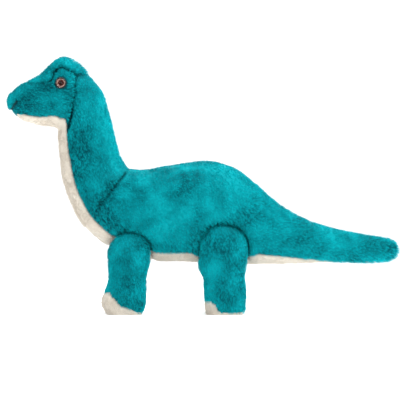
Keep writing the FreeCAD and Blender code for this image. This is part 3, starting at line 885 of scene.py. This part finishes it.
def add_cloth(piece):
    """Give a cover the thickness of its backing cloth, inwards."""
    cloth = piece.modifiers.new("cloth", "SOLIDIFY")
    cloth.thickness = CLOTH
    cloth.offset = -1


def finish_cover(piece, name, pale, nap, seed):
    """Name, material, thickness and pile of one cover."""
    piece.name = f"cover_{name}"
    piece.data.materials.append(cream if pale else teal)
    add_pile(piece, nap, PILE_LENGTH, seed)
    add_cloth(piece)


# ------------------------------------------------------------------ build
teal = plush("teal_plush", (0.0004, 0.082, 0.103), (0.001, 0.24, 0.28), (0.003, 0.42, 0.475),
             (0.006, 0.60, 0.67), 0.26, 0.4)
cream = plush("cream_plush", (0.57, 0.51, 0.43), (0.66, 0.61, 0.53), (0.71, 0.67, 0.60),
              (0.75, 0.71, 0.65), 0.1, 0.15)
fibre_fill = fibre_material()
clear_lens = lens_material()

grid, ring_number = trunk_grid()
for line in (CROWN_SEAM, FACE_SEAM, DART):
    snap_to(grid, line, 0.45 * GRID)
labels = trunk_labels(grid, ring_number)
legs = leg_facts()
for leg in legs:
    leg["grid"] = leg_grid(leg, grid)
marks = shape_trunk(grid, ring_number, legs)
seed = 0
for name, piece in split_grid(grid, labels, marks).items():
    seed += 1
    part = name.split("_")[0]
    finish_cover(piece, name, "gusset" in name and part != "crown", NAPS[part], seed)
    follow(piece, part)
    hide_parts(name)
    if part == "neck":
        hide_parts(name.replace("neck", "nape"))

TRUNK_FILLS = (("head", -1, HEAD_RING), ("neck", HEAD_RING, NECK_RING),
               ("torso", NECK_RING, TAIL_RING), ("tail", TAIL_RING, len(RINGS)))
for body, first, last in TRUNK_FILLS:
    rows = grid[(ring_number >= first) & (ring_number <= last)]
    stuffing_piece(f"fill_{body}", body, rows[::2, ::3], 13 * MM)

for leg in legs:
    points = leg["grid"]
    marks = shape_leg(points, leg)
    labels = leg_labels(points, leg)
    if leg["side"] < 0:
        points = points[:, ::-1] * np.array([1, -1, 1])
        labels = [row[-2::-1] + row[-1:] for row in labels]
        marks = {mark: values[:, ::-1] for mark, values in marks.items()}
    for label, piece in split_grid(points, labels, marks).items():
        seed += 1
        name = f"{leg['name']}_{label}"
        finish_cover(piece, name, label == "sole", NAPS[leg["kind"]], seed)
        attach(piece, leg["name"])
        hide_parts(name)
    above_sole = points[:, 0, 2] > 7 * MM
    stuffing_piece(f"fill_{leg['name']}", leg["name"], points[above_sole][::2, ::2], 9 * MM)

for word, side in SIDES.items():
    eye_dome(word, side)
NODE_MATERIALS = {
    "eye_backing": speckled("eye_black", (0.006, 0.004, 0.004), (0.012, 0.009, 0.009), 0.18, 700,
                            0.25),
    "eye_iris": printed_eye(),
    "eye_washer": speckled("washer_plastic", (0.70, 0.70, 0.66), (0.80, 0.80, 0.77), 0.5, 300),
    "mouth_stitch": speckled("thread", (0.0006, 0.018, 0.022), (0.002, 0.045, 0.052), 0.8, 900,
                             0.2, stripes=True),
}
for name, node in frame["nodes"].items():
    for stem, material in NODE_MATERIALS.items():
        if name.startswith(stem):
            node.data.materials.clear()
            node.data.materials.append(material)

# ------------------------------------------------------------------ stage, light and camera
bpy.ops.mesh.primitive_plane_add(size=8, location=(0, 0, 0))
floor = bpy.context.object
floor.name = "floor"
paper, _, paper_shader = new_material("paper", 0.9, 0.2)
paper_shader.inputs["Base Color"].default_value = (0.93, 0.93, 0.93, 1)
paper_shader.inputs["Emission Color"].default_value = (1, 1, 1, 1)
paper_shader.inputs["Emission Strength"].default_value = 0.5
floor.data.materials.append(paper)

# the room is white to look at, and lights the toy softly from all round
world = bpy.data.worlds.new("studio")
bpy.context.scene.world = world
world.use_nodes = True
room = world.node_tree.nodes["Background"]
room.inputs["Color"].default_value = (1, 1, 1, 1)
seen = world.node_tree.nodes.new("ShaderNodeLightPath")
level = world.node_tree.nodes.new("ShaderNodeMapRange")
level.inputs["To Min"].default_value = 0.68
level.inputs["To Max"].default_value = 1.2
link_chain(world.node_tree, (seen.outputs["Is Camera Ray"], level.inputs["Value"]),
           (level.outputs["Result"], room.inputs["Strength"]))


def softbox(name, place, aim, size, power):
    """A round area light that faces the aim."""
    data = bpy.data.lights.new(name, "AREA")
    data.shape = "DISK"
    data.size = size
    data.energy = power
    made = bpy.data.objects.new(name, data)
    bpy.context.scene.collection.objects.link(made)
    made.location = place
    made.rotation_euler = (Vector(aim) - Vector(place)).to_track_quat("-Z", "Y").to_euler()


softbox("top", (0.35, 0.15, 1.45), (0, 0, 0.1), 0.9, 31)
softbox("front", (0.6, -1.5, 1.0), (0, 0, 0.1), 0.8, 20)
softbox("back", (0.1, 1.3, 0.9), (0, 0, 0.12), 0.8, 12)

camera_data = bpy.data.cameras.new("camera")
camera = bpy.data.objects.new("camera", camera_data)
bpy.context.scene.collection.objects.link(camera)
bpy.context.scene.camera = camera
camera_data.lens = 280
camera_data.sensor_width = 36
camera.location = (-0.0022, -3.42, 0.136)
camera.rotation_euler = (math.radians(89.81), 0, 0)
bpy.context.scene.view_settings.view_transform = "Standard"
